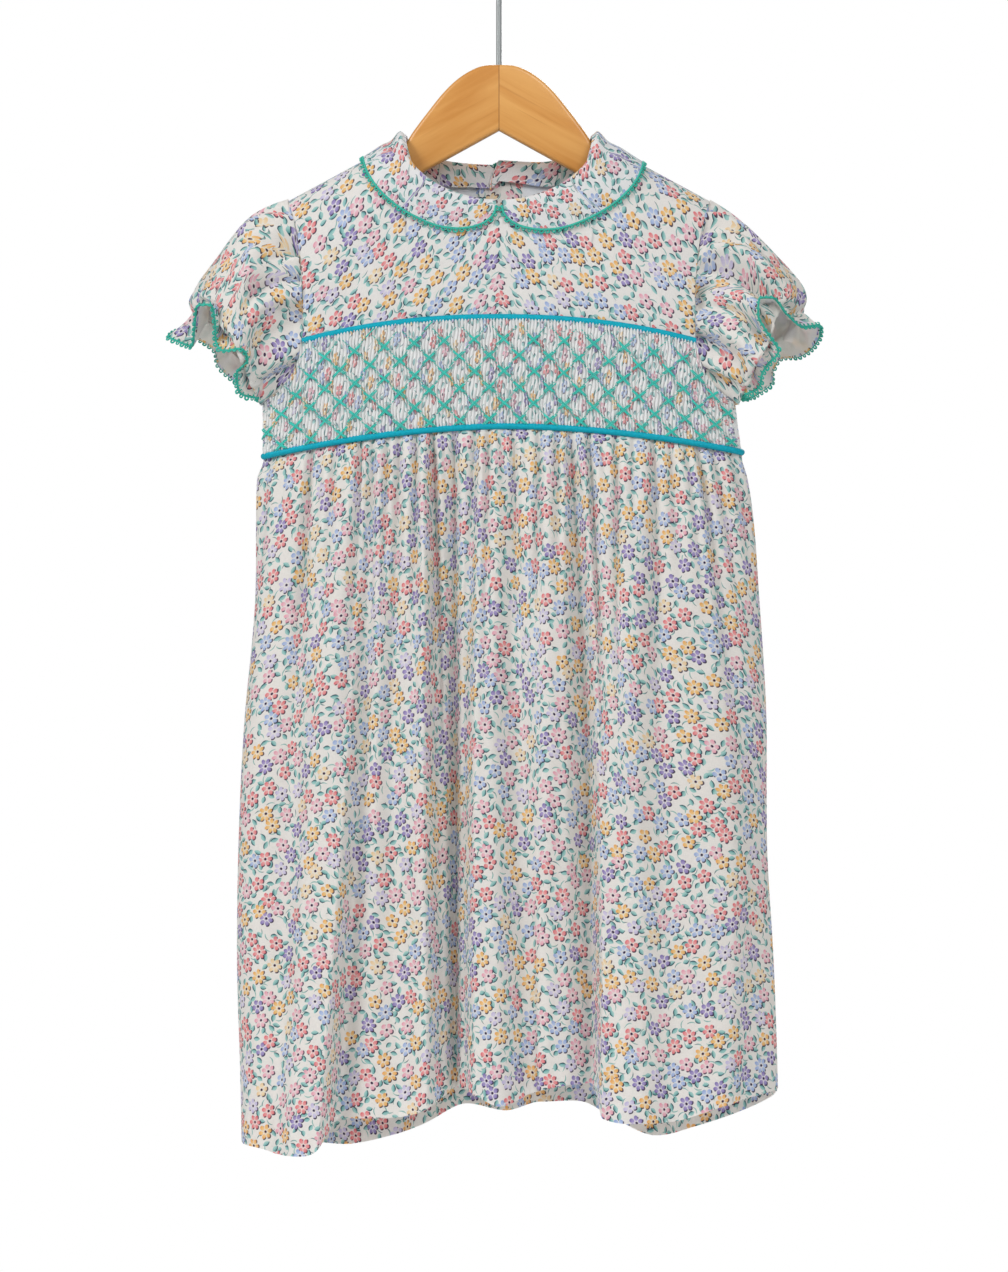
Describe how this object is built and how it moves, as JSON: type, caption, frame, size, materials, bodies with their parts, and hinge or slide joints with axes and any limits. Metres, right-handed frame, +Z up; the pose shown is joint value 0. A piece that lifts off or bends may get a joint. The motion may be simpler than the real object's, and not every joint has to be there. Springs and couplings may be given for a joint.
{
  "type": "smocked dress on a hanger",
  "caption": "Child's short-sleeved smocked cotton dress with a rounded collar and gathered skirt, hanging on a wooden hanger.",
  "frame": {"origin": "inside of the hook's top, where the rail carries it", "axes": "+Z up, the dress's front faces -Y, +X is to the right as one looks at the front"},
  "size_m": [0.3917, 0.1041, 0.7423],
  "materials": {
    "floral_cotton": "soft matt cotton, flower print",
    "smocked_cotton": "pleated matt cotton with smocking thread",
    "teal_piping": "matt bias piping",
    "teal_thread": "soft thread edging",
    "hanger_wood": "satin varnish",
    "hook_steel": "plated wire",
    "button_shell": "pearly gloss"
  },
  "bodies": {
    "root": {"hanger_left": "hanger_wood", "hanger_right": "hanger_wood", "hanger_hook": "hook_steel", "front_yoke": "floral_cotton", "smocked_panel": "smocked_cotton", "upper_piping": "teal_piping", "lower_piping": "teal_piping", "skirt_front": "floral_cotton", "skirt_back": "floral_cotton", "back_left": "floral_cotton", "back_right": "floral_cotton", "collar_left": "floral_cotton", "collar_right": "floral_cotton", "collar_edging_left": "teal_thread", "collar_edging_right": "teal_thread", "sleeve_left": "floral_cotton", "sleeve_right": "floral_cotton", "sleeve_edging_left": "teal_thread", "sleeve_edging_right": "teal_thread", "button_1": "button_shell", "button_2": "button_shell", "button_3": "button_shell", "button_4": "button_shell"}
  },
  "joints": []
}
